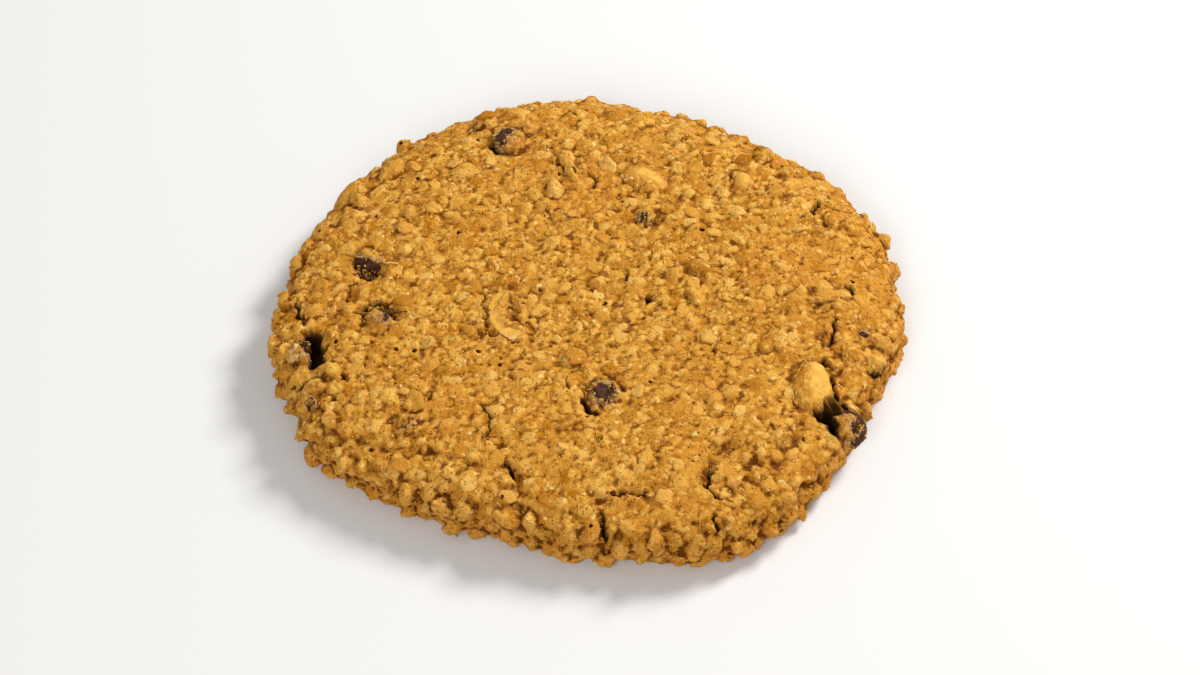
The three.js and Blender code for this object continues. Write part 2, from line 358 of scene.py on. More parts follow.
def finishLook(graph, surface, colour, roughness, height, look):
    bump = graph.node("ShaderNodeBump", None, {
        "Strength": look["bump"], "Distance": look["relief"] * mm, "Height": height})
    wires = {"Base Color": colour, "Roughness": roughness, "Normal": bump}
    for name, wire in wires.items():
        graph.tree.links.new(wire.socket, surface.inputs[name])
    surface.inputs["Specular IOR Level"].default_value = look["shine"]


makeCamera(cameraSettings)
makeFloor(floorSettings)
makeSky(skyStrength)
for name, settings in lampSettings.items():
    makeLamp(name, settings)
bpy.context.scene.view_settings.view_transform = "Standard"
report("stage set")


# Cracks and holes: their line in plan, mm, with how wide and deep they are

wideCrack = 1.25  # mm; the narrower ones are only cut through the crust
far = 99.0  # mm, for what has nothing near it
noRoom = -9.0  # mm, where nothing may be scattered

crackForm = {
    "lowest": 4,  # mm above the floor; nothing is cut lower on the rim
    "width": (0.8, 0.25, 3.1),  # share of the width drawn, how far that sways, and over how many mm
    "ends": (0.45, 0.55, 1.4),  # share left at an end, what it gains inwards, and over how many mm
    "wall": (0.5, 1.25, 0.15),  # where a wall starts and stops, in half widths, and mm beyond that
    "shadeAside": (0.25, 1.1),  # mm, as all that follows
    "shadeBelow": (0.35, 1.4),
    "cutFrom": 0.2,
}

holeForm = {"wall": 12, "shadeAside": (0.3, 1.3), "shadeAbove": (3.8, 6.4)}


def crack(width, depth, *line, **more):
    return {"width": width, "depth": depth, "along": line, **more}


def patch(width, *line):
    return {"width": width, "along": line}


crevices = [
    crack(0.8, 2.0, (3.1, -56.6), (6.8, -56.2), (11.4, -56.5)),
    crack(0.9, 2.2, (26.9, -50.6), (25.2, -52.4), (24.6, -55.4), (26.4, -57.6), (29, -58.9)),
    crack(0.9, 2.2, (1.7, -60.4), (2.1, -63.1), (2.4, -66.5)),
    crack(0.95, 2.2, (-19.3, -46.4), (-17.6, -49.3), (-17.2, -51.7)),
    crack(0.7, 1.3, (-24.3, -31.8), (-22.3, -35.8), (-23, -41.7)),
    crack(0.9, 2.0, (-12.4, -56.2), (-10.5, -55.6)),
    crack(0.8, 2.0, (25.6, -62), (26.4, -63.4), (26, -65.6)),
    crack(1.2, 2.2, (12.7, -4.6), (14, -1)),
    crack(0.6, 1.3, (8.7, 6.4), (9.1, 2.6)),
    crack(0.8, 1.5, (0.8, 36.8), (2.3, 34.7), (1.9, 32.2)),
    crack(0.5, 0.9, (-5.2, -24.8), (-5.1, -29.2)),
    crack(0.7, 1.5, (-54.6, 1.6), (-54.9, -0.6)),
    crack(1.2, 2.2, (-66.4, 1.7), (-65.8, -2), (-64.2, -5.4)),
    crack(1.6, 2.6, (-55, -21.6), (-54.8, -22.8)),
    crack(1.0, 2.0, (-56.7, -27.6), (-56, -29)),
    crack(1.4, 2.4, (62.2, -22.9), (64.4, -21.6)),
    crack(1.0, 1.9, (55.4, -8.6), (54.9, -12.8), (53.6, -16.4)),
    crack(1.2, 1.8, (52.2, 22.9), (54.1, 26.9)),
    crack(1.1, 1.7, (58.8, 0.7), (60.2, -1.4)),
    crack(0.6, 1.2, (27.2, -19.4), (28.9, -15.5)),
    crack(0.7, 1.4, (-36, -29.8), (-34.9, -27.4)),
    crack(1.0, 1.7, (-10.9, 1), (-10.6, 1.6)),
    crack(0.9, 1.5, (-11.7, -12.8), (-11.2, -12.4)),
    crack(0.9, 1.5, (1.6, -43), (1.9, -42.4)),
]

# Chips and nuts: where each is bare of dough, and the gaps beside it, as lines in plan

chips = {
    "chip_centre": {
        "smear": 1.0,
        "bare": [patch(4.5, (2.3, -29.0), (2.8, -30.0))],
        "gaps": [crack(0.5, 1.0, (0.3, -25.2), (-1.1, -26.7), (-1.8, -29.4), (-1.6, -30.5)),
                 crack(1.8, 3.2, (-1.6, -30.4), (-0.7, -33.2), (0.8, -35.1)),
                 crack(0.7, 1.4, (4.8, -27.4), (4.9, -29.6), (3.9, -31.4)),
                 crack(0.45, 1.0, (1.2, -32.2), (2.8, -32.6), (4.6, -32.0)),
                 crack(1.0, 1.8, (7.4, -27.8), (7.5, -29.4))],
        "flat": 0.75,
        "ring": 1.2,
    },
    "chip_back": {
        "smear": 0.7,
        "bare": [patch(2.4, (-17.5, 50.6), (-19.2, 48.9), (-20.3, 47.8)),
                 patch(0.9, (-19.9, 46.8), (-18.3, 46.7))],
        "gaps": [crack(1.6, 3.2, (-21.1, 48), (-21.7, 46.9), (-21, 45.8), (-19.6, 44.7))],
    },
    "chip_left_upper": {
        "smear": 0.8,
        "bare": [patch(2.4, (-54.1, 13.6), (-53.4, 12), (-51.8, 10.9), (-49.8, 10.2), (-48, 10))],
        "gaps": [crack(1.1, 1.8, (-54.2, 13.4), (-53.9, 11.6), (-52.8, 10.4)),
                 crack(2.3, 3.6, (-51.8, 9.3), (-50.1, 8.2), (-48.3, 7.9), (-46.9, 8.7)),
                 crack(0.9, 2.2, (-49.4, 7.2), (-50.5, 5.2), (-52, 3.9))],
    },
    "chip_left_middle": {
        "smear": 0.9,
        "bare": [patch(1.1, (-50, -3.6), (-48.4, -3.0), (-46.8, -3.6), (-45.9, -5.6), (-45.8, -6.6))],
        "gaps": [crack(1.0, 2.4, (-51.3, -4), (-50.4, -2.6), (-49.3, -1.3), (-47.3, -1.4),
                       (-45.6, -2.8), (-44.6, -4.8), (-44.1, -6.4))],
    },
    "chip_left_lower": {
        "smear": 0.8,
        "bare": [patch(2.4, (-65, -11.3), (-64, -11.8), (-63.2, -13.4)),
                 patch(1.8, (-66.2, -9.8), (-66.5, -11.2))],
        "gaps": [crack(3.6, 4.6, (-62.2, -8.4), (-61.5, -11.9), (-61, -13.8), (-61.4, -16), floor=7.0)],
    },
    "chip_left_front": {
        "smear": 0.6,
        "bare": [patch(1.0, (-62.2, -26.6), (-61.9, -27.4))],
        "gaps": [crack(1.1, 2.4, (-62.9, -26.9), (-62.4, -27.5)),
                 crack(0.6, 1.6, (-63.3, -27.8), (-62.5, -28.5), (-61.6, -29)),
                 crack(1.0, 2.2, (-66, -22.3), (-65.2, -22.4), (-64.1, -21.7)),
                 crack(0.6, 1.4, (-66.2, -23.8), (-65, -26.7))],
    },
    "chip_front": {
        "smear": 0.6,
        "bare": [patch(1.0, (-39, -36.7), (-38.7, -37.2))],
        "gaps": [crack(0.8, 2.0, (-42.9, -37.3), (-41.7, -36.8), (-40.6, -35.8), (-39.5, -35))],
    },
    "chip_mid_back": {
        "smear": 0.3,
        "bare": [patch(1.4, (13.3, 22.8), (12.6, 22))],
        "gaps": [crack(0.6, 1.6, (13.5, 22.3), (13.7, 21.1), (13.9, 20.2)),
                 crack(0.5, 1.2, (14.4, 20.9), (15.8, 22.2))],
    },
    "chip_rim_right": {
        "smear": 0.4,
        "bare": [patch(1.9, (61.6, -12.8), (62.2, -13.3))],
        "gaps": [],
    },
    "chip_right_edge": {
        "smear": 0.7,
        "bare": [patch(2.7, (53.4, -33.4), (55.1, -32.9), (56.8, -33.2), (58.2, -33.9), (59.8, -34.7),
                       (60.3, -36)),
                 patch(1.6, (58.9, -35.6), (58.6, -37), (57.8, -38.4)),
                 patch(1.7, (61, -35.8), (60.6, -37.6), (59.6, -39.2), (58, -40.2))],
        "gaps": [crack(3.3, 4.5, (50.7, -36.3), (51.8, -34.9), (53, -33.7), floor=8.6),
                 crack(2.0, 3.5, (52.5, -35.6), (52.8, -37.6), (53.2, -39.2), floor=9.0),
                 crack(1.6, 3.4, (53, -33), (55.3, -31.9), floor=9.2)],
    },
}

nuts = {
    "peanut_right": {
        "bare": [patch(4.6, (50.8, -22.4), (50.9, -26.9), (50.6, -31))],
        "gaps": [crack(1.2, 2.8, (52.6, -20.4), (53.2, -25), (53.9, -28), (54.2, -30), (53.8, -32.6))],
    },
    "peanut_left": {
        "bare": [patch(2.2, (-20.6, 0.3), (-22.3, -2), (-22.1, -4.6)),
                 patch(2.9, (-22.1, -4.6), (-21.8, -8), (-20.2, -10.5), (-16.8, -11.8))],
        "pale": 0.8,
        "sink": 1.7,
        "gaps": [crack(0.55, 1.2, (-22.1, 1.2), (-23.7, -0.4), (-24.1, -2.3), (-23.6, -4.3),
                       (-23.5, -8), (-23, -10.3), (-21.6, -11.9), (-18.7, -13.2), (-15.6, -13.8))],
    },
    "peanut_back": {
        "bare": [patch(2.6, (12.6, 37), (15.1, 35.3), (17.6, 32.9))],
        "calm": [patch(4.6, (11.6, 37.4), (15.1, 35.4), (18.2, 32.4))],
        "gaps": [],
    },
    "peanut_rim_left": {
        "bare": [patch(2.4, (-58.4, 37.4), (-59.6, 33.4))],
        "calm": [patch(6.4, (-57, 38.6), (-58.6, 31.6))],
        "gaps": [],
    },
    "peanut_piece": {
        "bare": [patch(3.6, (36.6, 35), (36.4, 32.4))],
        "gaps": [crack(0.7, 1.4, (35.3, 37.2), (34, 36.3), (33.7, 33.4))],
    },
    "peanut_sliver": {
        "bare": [patch(1.5, (-6.1, 42.8), (-5.2, 39.9), (-3.8, 36.9), (-2.2, 35))],
        "gaps": [crack(0.45, 0.9, (-7.4, 43.8), (-6.2, 40.6), (-4.8, 37.1)),
                 crack(1.0, 2.2, (-2.8, 38), (-2.7, 36.4))],
    },
}

inclusions = {**chips, **nuts}
allCrevices = crevices + [gap for settings in inclusions.values() for gap in settings["gaps"]]
allBare = [spot for settings in inclusions.values() for spot in settings["bare"]]
allCalm = [spot for settings in inclusions.values() for spot in settings.get("calm", [])]


def swells(places, width):
    # slow waves between -1 and 1 over the plan; the uneven factors keep them from repeating
    x, y = places[:, 0], places[:, 1]
    turn = 2 * math.pi / width
    return (np.sin(x * turn + 3 * np.sin(y * 0.31)) + np.sin(y * turn * 0.81 + 3 * np.sin(x * 0.23))) / 2


def ragged(plan):
    # the plan shifted by waves of uneven lengths, so that no edge drawn on it is clean
    x, y = plan[:, 0], plan[:, 1]
    slow = np.sin(y * 1.7 + 2 * np.sin(x * 0.8)), np.sin(x * 1.5 + 2 * np.sin(y * 0.9) + 1)
    quick = np.sin(y * 4.3 + 2 * np.sin(x * 1.3)), np.sin(x * 4.7 + 2 * np.sin(y * 1.1))
    return plan + np.column_stack(slow) * 0.3 + np.column_stack(quick) * 0.13


def lineDistance(plan, line):
    # plan distance in mm from each place to a bent line
    plan = ragged(plan)
    nearest = np.full(len(plan), np.inf)
    for start, end in zip(line[:-1], line[1:]):
        start = np.array(start)
        run = np.array(end) - start
        share = np.clip((plan - start) @ run / (run @ run), 0, 1)
        nearest = np.minimum(nearest, np.linalg.norm(plan - start - share[:, None] * run, axis=1))
    return nearest


def creviceShape(places, crevice):
    # mm from each place to the side of the crack, and what share of its depth it has there
    distance = lineDistance(places[:, :2], crevice["along"])
    share, sway, length = crackForm["width"]
    half = crevice["width"] / 2 * (share + sway * swells(places, length))
    if "floor" not in crevice:
        ends = np.minimum(*(np.linalg.norm(places[:, :2] - crevice["along"][end], axis=1) for end in (0, -1)))
        narrow, lack, reach = crackForm["ends"]
        half *= narrow + lack * smoothStep(ends, 0, reach)
    inner, outer, more = crackForm["wall"]
    return distance - half, 1 - smoothStep(distance, half * inner, half * outer + more)


def creviceFacts(places, least=0.0):
    # how deep each place lies in a crack at least so wide, and how far off the nearest one is, mm
    depth = np.zeros(len(places))
    away = np.full(len(places), far)
    upper = places[:, 2] > crackForm["lowest"]
    for crevice in allCrevices:
        if crevice["width"] >= least:
            aside, share = creviceShape(places, crevice)
            depth = np.maximum(depth, crevice["depth"] * share)
            away = np.minimum(away, np.where(upper, aside, far))
    return depth * upper, away


def holeFacts(places):
    # the level that nothing in an open hole stands above, and how much painted shade the hole gets, to 1
    level = np.full(len(places), far)
    dark = np.zeros(len(places))
    for crevice in allCrevices:
        if "floor" in crevice:
            aside, share = creviceShape(places, crevice)
            wall = crevice["floor"] + holeForm["wall"] * (1 - share)
            level = np.minimum(level, np.where(share > 0, wall, far))
            low = 1 - smoothStep(places[:, 2] - crevice["floor"], *holeForm["shadeAbove"])
            dark = np.maximum(dark, (1 - smoothStep(aside, *holeForm["shadeAside"])) * low)
    return level, dark * (places[:, 2] > crackForm["lowest"])


def calmDistance(places):
    # how far, in plan, each place is from where a chip or nut shows or is only filmed over
    return bareDistance(places, allBare + allCalm)


def bareDistance(places, patches):
    nearest = np.full(len(places), far)
    for spot in patches:
        nearest = np.minimum(nearest, lineDistance(places[:, :2], spot["along"]) - spot["width"] / 2)
    return nearest


def inclusionDistance(places, reach=4.0):
    # mm from each place to the nearest chip or nut
    graph = bpy.context.evaluated_depsgraph_get()
    trees = [BVHTree.FromObject(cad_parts[name], graph) for name in inclusions]
    nearest = np.full(len(places), far)
    for index, place in enumerate(places):
        found = [tree.find_nearest(Vector(place * mm), reach * mm)[3] for tree in trees]
        found = [distance / mm for distance in found if distance is not None]
        if found:
            nearest[index] = min(found)
    return nearest


def depthUnder(places, form):
    # mm from each place up to the smooth form of the dough, and how far that faces up
    found = [form.find_nearest(Vector(place * mm)) for place in places]
    below = [(facts[0] - Vector(place * mm)).dot(facts[1]) for facts, place in zip(found, places)]
    return np.array(below) / mm, np.array([facts[1].z for facts in found])


def crackShade(places, below):
    # how much painted shade a place gets: 1 where it lies far down in a crack or low on its walls
    near = 1 - smoothStep(creviceFacts(places)[1], *crackForm["shadeAside"])
    return np.maximum(near * smoothStep(below, *crackForm["shadeBelow"]), holeFacts(places)[1])


rimFacing = (0.55, 0.95)  # how far the rim faces up where it begins and where it has turned into the top
clearFoot = 1.2  # mm above the floor where nothing is scattered


def surveyMesh(mesh, form, leastCrack=wideCrack):
    # room for a scattered piece, in m, and how much a place belongs to the rim
    places = placesOf(mesh)
    room = np.minimum(creviceFacts(places, leastCrack)[1], calmDistance(places))
    below, rise = depthUnder(places, form)
    setAttribute(mesh, "room", np.where(places[:, 2] > clearFoot, room, noRoom) * mm)
    setAttribute(mesh, "rim", 1 - smoothStep(rise, *rimFacing))
    # painted shade far down in cracks and on the walls of holes, kept as the crack attribute
    setAttribute(mesh, "crack", crackShade(places, below))


# Base: the dough under its oats, the solid drawn in a little

base = {
    "voxel": 0.7,
    "smoothing": 5,
    "sink": 0.22,
    "rimSink": 0.75,
    "sinkSwell": 0.2,
    "rimSwell": 0.45,
    "swellWidth": 8.0,
    "collar": (0.4, 2.6),  # mm round a chip or nut where the dough isn't drawn in
    "fillet": 0.6,  # how high the dough climbs there
    "filletReach": (0.8, 2.6),
    "foot": (0.3, 2.2),  # mm above the floor where all this fades in
    "crackShare": 0.8,
    "tone": 0.35,
}

veil = {
    "voxel": 0.45,
    "smoothing": 4,
    "chipFilm": 0.2,
    "nutFilm": 0.3,
    "bareDepth": 0.45,
    "sway": (0.5, 2.6),  # how uneven the edge of a bare patch is, and over how many mm
    "bareEdge": (-0.2, 0.5),
    "sinkShare": 0.8,
    "sinkEdge": (0.8, 2.4),
    "smearReach": (0.6, 2.0),
    "tone": 0.4,
}


def refined(name, source, voxel, smoothing):
    piece = newPiece(name, source.data.copy())
    addModifier(piece, "WELD", merge_threshold=1e-6)
    addRemesh(piece, voxel)
    addModifier(piece, "SMOOTH", iterations=smoothing)
    return bakeModifiers(piece)


def makeBase(settings):
    piece = refined("doughBase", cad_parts["cookie_dough"], settings["voxel"], settings["smoothing"])
    mesh = piece.data
    form = BVHTree.FromObject(piece, bpy.context.evaluated_depsgraph_get())
    places = placesOf(mesh)
    normals = valuesOf(mesh.vertex_normals, "vector", 3)
    above = smoothStep(places[:, 2], *settings["foot"])
    rim = 1 - smoothStep(normals[:, 2], *rimFacing)
    wave = swells(places, settings["swellWidth"])
    sink = settings["sink"] + settings["rimSink"] * rim
    sink += (settings["sinkSwell"] + settings["rimSwell"] * rim) * wave
    away = smoothStep(inclusionDistance(places), *settings["collar"])
    calm = 1 - smoothStep(calmDistance(places), *settings["filletReach"])
    sink = sink * away - settings["fillet"] * (1 - away) * calm
    sunk = places - normals * (sink * above)[:, None]
    sunk[:, 2] -= creviceFacts(places, wideCrack)[0] * above * settings["crackShare"]
    setPoints(mesh, sunk * mm)
    surveyMesh(mesh, form)
    setAttribute(mesh, "tone", settings["tone"])
    setAttribute(mesh, "smear", 0)
    return piece, form


def flattened(places, settings):
    # a chip that broke off level at its top
    places = places.copy()
    if "flat" in settings:
        places[:, 2] = np.minimum(places[:, 2], places[:, 2].max() - settings["flat"])
    return places


def makeVeil(name, film, form):
    # the dough over a chip or nut: a little outside it, and well inside where it is bare
    piece = refined(name + "Veil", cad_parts[name], veil["voxel"], veil["smoothing"])
    mesh = piece.data
    settings = inclusions[name]
    places = flattened(placesOf(mesh), settings)
    normals = valuesOf(mesh.vertex_normals, "vector", 3)
    sway, length = veil["sway"]
    uneven = bareDistance(places, settings["bare"]) + sway * swells(places, length)
    bare = 1 - smoothStep(uneven, *veil["bareEdge"])
    swell = film - bare * (film + veil["bareDepth"])
    swell -= settings.get("sink", 0) * veil["sinkShare"] * smoothStep(uneven, *veil["sinkEdge"])
    setPoints(mesh, (places + normals * swell[:, None]) * mm)
    surveyMesh(mesh, form)
    setAttribute(mesh, "tone", veil["tone"])
    near = 1 - smoothStep(bareDistance(places, settings["bare"]), *veil["smearReach"])
    setAttribute(mesh, "smear", near * settings.get("smear", 0))
    return piece


doughBase, doughForm = makeBase(base)
veils = [makeVeil(name, veil["chipFilm"], doughForm) for name in chips]
veils += [makeVeil(name, veil["nutFilm"], doughForm) for name in nuts]
ground = joined("ground", [doughBase] + veils)
discard(*veils, doughBase)
report("base", len(ground.data.vertices), "vertices")


# Pebbles: rounded polyhedra, which an oat or a bit of dough looks like

pebbleSettings = {
    "kinds": 12,
    "facets": 9,
    "facetRise": 0.7,
    "facetDistance": (0.68, 1.0),
    "side": 1.1,
    "narrowing": (0.7, 0.98),
    "sharpness": 3.4,
    "seed": 31,
}

boxNormals = [[0, 0, 1], [0, 0, -1], [1, 0, 0], [-1, 0, 0], [0, 1, 0], [0, -1, 0]]


def unitShape(name, subdivisions, collection):
    bpy.ops.mesh.primitive_ico_sphere_add(subdivisions=subdivisions, radius=1.0)
    piece = bpy.context.object
    piece.name = name
    piece.data.shade_smooth()
    bpy.context.scene.collection.objects.unlink(piece)
    collection.objects.link(piece)
    return piece.data


def makePebbles(name, subdivisions, flatness, settings):
    source = np.random.default_rng(settings["seed"])
    collection = bpy.data.collections.new(name)
    for kind in range(settings["kinds"]):
        thickness = source.uniform(*flatness)
        normals = source.normal(size=(settings["facets"], 3))
        normals[:, 2] *= settings["facetRise"]
        normals /= np.linalg.norm(normals, axis=1)[:, None]
        away = source.uniform(*settings["facetDistance"], settings["facets"])
        away *= np.sqrt(1 - normals[:, 2] ** 2 * (1 - thickness ** 2))
        normals = np.vstack([normals, boxNormals])
        away = np.append(away, [thickness] * 2 + [settings["side"]] * 4)
        mesh = unitShape(f"{name}{kind}", subdivisions, collection)
        ways = valuesOf(mesh.vertices, "co", 3) * (1, 1, thickness)
        ways /= np.linalg.norm(ways, axis=1)[:, None]
        facing = np.clip(ways @ normals.T, 0, None) / away
        reach = (facing ** settings["sharpness"]).sum(1) ** (-1 / settings["sharpness"])
        squash = np.array([1.0, source.uniform(*settings["narrowing"]), 1.0])
        setPoints(mesh, ways * reach[:, None] * squash)
    return collection


scatterLengths = ("spacing", "clearance", "least", "most")  # mm
scatterShares = {"patches": 0.0, "topShare": 1.0, "rimShare": 1.0, "lift": 0.0, "rimLift": 0.0, "lean": 0.0,
                 "rimLean": 0.0}

scatterForm = {
    "fade": 0.8,  # of the clearance, where the scattering starts
    "patch": {"size": 9.0, "low": 0.42, "high": 0.56, "detail": 1.0},
    "density": 4e6,  # the most there may be on a square metre
    "smallness": 1.5,
}


def scatterTree(form):
    graph, wires = newTree("scatter", [
        ("shapes", "Collection"), ("seed", "Int"), ("material", "Material"),
        *((name, "Float") for name in (*scatterLengths, *scatterShares)),
    ])
    seed = wires["seed"]
    room = graph.step(graph.stored("room"), wires["clearance"] * form["fade"], wires["clearance"])
    rim = graph.stored("rim")
    place = graph.node("GeometryNodeInputPosition")
    share = room * (1.0 - wires["patches"] * (1.0 - graph.spots(place, **form["patch"])))
    share = share * (wires["topShare"] + (wires["rimShare"] - wires["topShare"]) * rim)
    scattered = graph.node("GeometryNodeDistributePointsOnFaces", {"distribute_method": "POISSON"},
                           {"Mesh": wires["Geometry"], "Distance Min": wires["spacing"], "Seed": seed,
                            "Density Max": form["density"], "Density Factor": share}, output=None)
    points = Wire(graph, scattered.outputs["Points"])
    normal = Wire(graph, scattered.outputs["Normal"])
    lean = wires["lean"] + wires["rimLean"] * rim
    turn = graph.node("ShaderNodeCombineXYZ", inputs={
        0: lean * graph.random(-1.0, 1.0, seed + 1.0), 1: lean * graph.random(-1.0, 1.0, seed + 2.0),
        2: graph.random(0.0, 2 * math.pi, seed + 3.0),
    })
    upright = Wire(graph, scattered.outputs["Rotation"])
    turned = graph.node("FunctionNodeRotateRotation", {"rotation_space": "LOCAL"}, {0: upright, 1: turn})
    draw = graph.random(0.0, 1.0, seed + 4.0) ** form["smallness"]
    size = wires["least"] + (wires["most"] - wires["least"]) * draw
    lifted = graph.node("GeometryNodeSetPosition", inputs={
        "Geometry": points,
        "Offset": graph.scaled(normal, (wires["lift"] + wires["rimLift"] * rim) * size),
    })
    shapes = graph.node("GeometryNodeCollectionInfo", {"transform_space": "ORIGINAL"},
                        {"Collection": wires["shapes"], "Separate Children": True, "Reset Children": True})
    placed = graph.node("GeometryNodeInstanceOnPoints", inputs={
        "Points": lifted, "Instance": shapes, "Pick Instance": True, "Rotation": turned, "Scale": size,
    })
    toned = graph.store(placed, "tone", graph.random(0.0, 1.0, seed + 5.0), "INSTANCE")
    real = graph.node("GeometryNodeRealizeInstances", inputs={0: toned})
    return closeTree(graph, graph.node("GeometryNodeSetMaterial", inputs={0: real, 2: wires["material"]}))


scatter = scatterTree(scatterForm)


def scatterOn(ground, name, shapes, settings, material=None):
    piece = newPiece(name, ground.data.copy())
    values = {key: settings[key] * mm for key in scatterLengths}
    values.update({key: settings.get(key, usual) for key, usual in scatterShares.items()})
    addTree(piece, scatter, {**values, "shapes": shapes, "seed": settings["seed"], "material": material})
    return bakeModifiers(piece)


# Dough: its look, shared by the crust, the oats and the crumbs

holeSettings = (4.7, 0.7, 0.3)  # spacing and radius in mm, and the share that are open
crackSettings = (5.5, 0.15)  # spacing and half width in mm

doughTones = {
    "dark": (0.42, 0.146, 0.006, 1),
    "middle": (0.65, 0.305, 0.042, 1),
    # the light tone, which on the knobs is also painted light
    "light": (0.80, 0.480, 0.115, 1),
    # darkest brown, painted shade in the pores, the hollows and the crack lines
    "painted_shade": (0.13, 0.029, 0.001, 1),
    "smear": (0.27, 0.135, 0.065, 1),
    "ash": (0.62, 0.420, 0.190, 1),
    # darker tan, painted shade laid into the hollows
    "tan": (0.48, 0.190, 0.018, 1),
    # golden yellow laid on the knobs: oat colour and painted light
    "knob_gold_and_light": (0.80, 0.460, 0.070, 1),
    # pale cream, oat flecks and painted highlights on the knobs
    "cream": (0.88, 0.630, 0.240, 1),
    # browned crust; toward the floor it also stands for painted shade
    "browned_crust_and_shade": (0.57, 0.202, 0.018, 1),
    "sole": (0.36, 0.125, 0.012, 1),
    # near black, painted shade in the round holes and deep in cracks and open holes
    "painted_hole_shade": (0.020, 0.004, 0.001, 1),
}


doughLook = {
    "shade": (0.6, 0.4, 0.25, 0.12),  # shares of the tone, the grain and the patches, and what is taken off
    "grain": {"size": 0.45, "detail": 4.0, "roughness": 0.6},
    "patch": {"size": 14.0, "detail": 3.0},
    "middle": (0.2, 0.55),  # shades between which the dark turns into the middle tone
    "light": (0.5, 0.95),  # and the middle into the light one
    "baked": {"size": 6.0, "low": 0.3, "high": 0.7, "detail": 3.0, "least": 0.4},
    # browner toward the floor: browning, and painted shade near the floor
    "bakedUp": (9 * mm, 2 * mm, 0.0, 0.35),
    "bakedRim": 0.42,
    "sole": (1.3 * mm, 0.2 * mm),
    "scorched": {"size": 9.0, "low": 0.3, "high": 0.65, "detail": 4.0, "roughness": 0.6, "least": 0.35},
    "pressed": {"size": 3.6, "low": 0.45, "high": 0.6, "most": 0.55},
    "pressedSize": 3.2,
    "smear": {"size": 1.2, "low": 0.38, "high": 0.6, "detail": 4.0, "roughness": 0.65},
    "crumbled": {"size": 0.7, "low": 0.45, "high": 0.6, "detail": 3.0},
    "pitSize": 0.75,
    "pit": (0.30, 0.14),  # its radius at the edge and at the bottom, in pit sizes
    "pitDraw": (0.83, 0.85),  # the part of the cells below this has none
    "sandSize": 0.85,
    "shine": 0.06,
    "bump": 1.0,
    "relief": 0.42,
}

# Colours laid over the dough in spots, more in its hollows or on its knobs

# tan in the hollows is painted shade; yellow on the knobs is oat colour and painted light
doughSpots = [
    {"tone": "browned_crust_and_shade", "spots": {"size": 22.0, "low": 0.5, "high": 0.75, "most": 0.3}},
    {"tone": "tan", "spots": {"size": 3.2, "low": 0.48, "high": 0.68, "detail": 3.0, "roughness": 0.6},
     "hollow": (0.08, -0.08), "share": 0.7},
    {"tone": "knob_gold_and_light", "spots": {"size": 4.5, "low": 0.5, "high": 0.7},
     "hollow": (-0.04, 0.14), "share": 0.6},
]

# Pale cream flecks, more on the knobs: oat flecks and painted highlights
creamFlecksAndHighlights = {"tone": "cream", "spots": {"size": 1.6, "low": 0.62, "high": 0.74, "most": 0.8},
              "hollow": (-0.08, 0.06, 0.3, 1.0)}


